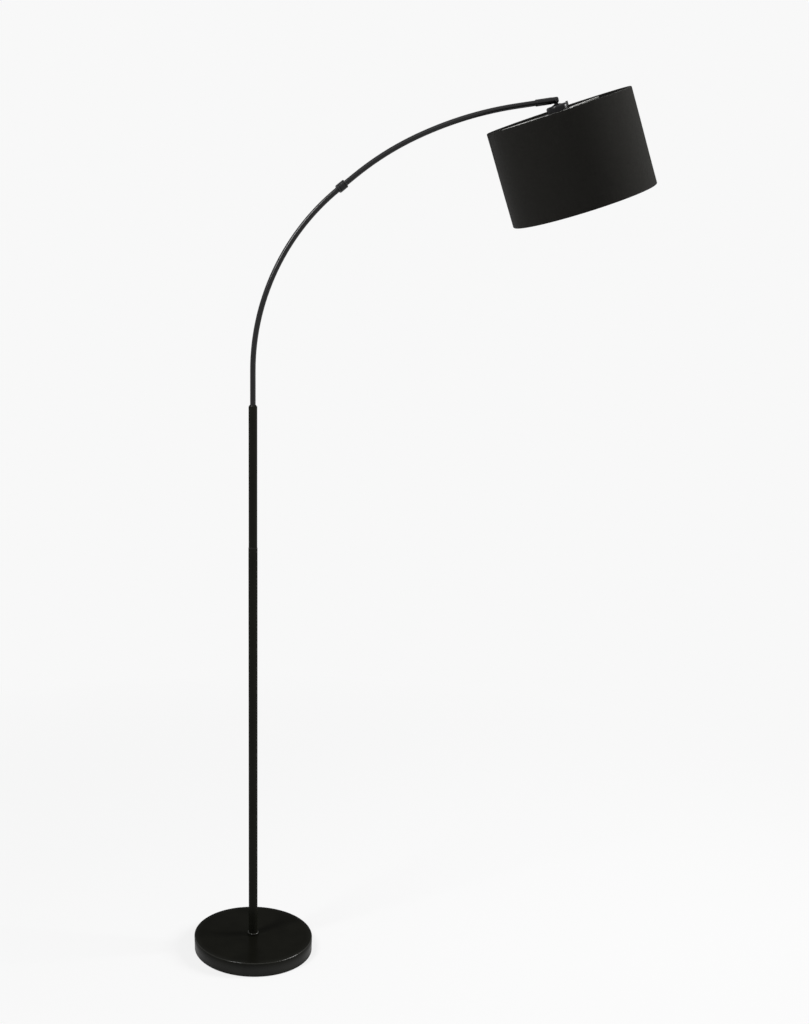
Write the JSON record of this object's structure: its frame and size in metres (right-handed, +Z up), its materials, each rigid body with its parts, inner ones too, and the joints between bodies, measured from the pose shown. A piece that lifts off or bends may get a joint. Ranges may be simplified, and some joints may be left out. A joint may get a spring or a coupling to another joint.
{
  "type": "bridge floor lamp",
  "caption": "Floor lamp with a weighted round base, a slim pole, a curved arm that swivels and a tilting drum shade.",
  "frame": {"origin": "on the floor at the middle of the round base", "axes": "+Z up along the pole, +X the way the arm reaches, +Y to the back, where the cord outlet is"},
  "size_m": [0.9755, 0.3, 1.8354],
  "materials": {
    "pad": "closed-cell foam",
    "cast_iron": "as cast, dipped in primer",
    "black_paint": "satin black powder coat",
    "black_nylon": "moulded nylon",
    "steel": "zinc plated",
    "dark_steel": "black oxide",
    "white_nylon": "nylon",
    "black_moulding": "fine matt moulding",
    "ceramic": "glazed ceramic",
    "brass": "plated",
    "bulb_cap_metal": "bright",
    "bulb_glass": "frosted",
    "black_cloth": "plain weave",
    "pale_film": "satin film",
    "white_wire": "white paint",
    "black_hem": "rolled edge"
  },
  "bodies": {
    "stand": {"floor_pad": "pad", "base_weight": "cast_iron", "base_cover": "black_paint", "cord_grommet": "black_nylon", "flat_washer": "steel", "spring_washer": "steel", "stud_nut": "steel", "center_stud": "steel", "foot_collar": "black_paint", "lower_pole": "black_paint", "upper_pole": "black_paint", "lower_pole_foot_plug": "steel", "lower_pole_top_plug": "steel", "upper_pole_foot_plug": "steel", "pole_joiner_stud": "steel", "pole_top_bushing": "black_paint", "arm_set_screw": "dark_steel"},
    "arm": {"lower_arm_tube": "black_paint", "upper_arm_tube": "black_paint", "arm_coupler": "black_paint", "arm_joiner": "steel", "end_sleeve": "black_paint", "hinge_screw": "dark_steel", "hinge_nut": "dark_steel", "friction_washers": "white_nylon"},
    "head": {"knuckle_tongue": "black_paint", "neck_cup": "black_paint", "lampholder_cap": "black_moulding", "shank_nut": "steel", "lampholder_skirt": "black_moulding", "clamp_ring": "black_moulding", "socket_insulator": "ceramic", "screw_shell": "brass", "center_contact": "brass", "bulb_cap": "bulb_cap_metal", "bulb_glass": "bulb_glass", "shade_fabric": "black_cloth", "shade_lining": "pale_film", "shade_spider": "white_wire", "top_hem": "black_hem", "bottom_hem": "black_hem", "bottom_wire_ring": "white_wire"}
  },
  "joints": [
    {"name": "arm_swivel", "type": "hinge", "parent": "stand", "child": "arm", "pos_m": [0, 0, 1.191], "axis": [0, 0, 1], "range_deg": [-170, 170]},
    {"name": "shade_tilt", "type": "hinge", "parent": "arm", "child": "head", "pos_m": [0.63366, 0, 1.80725], "axis": [0, -1, 0], "range_deg": [-12, 45]}
  ]
}
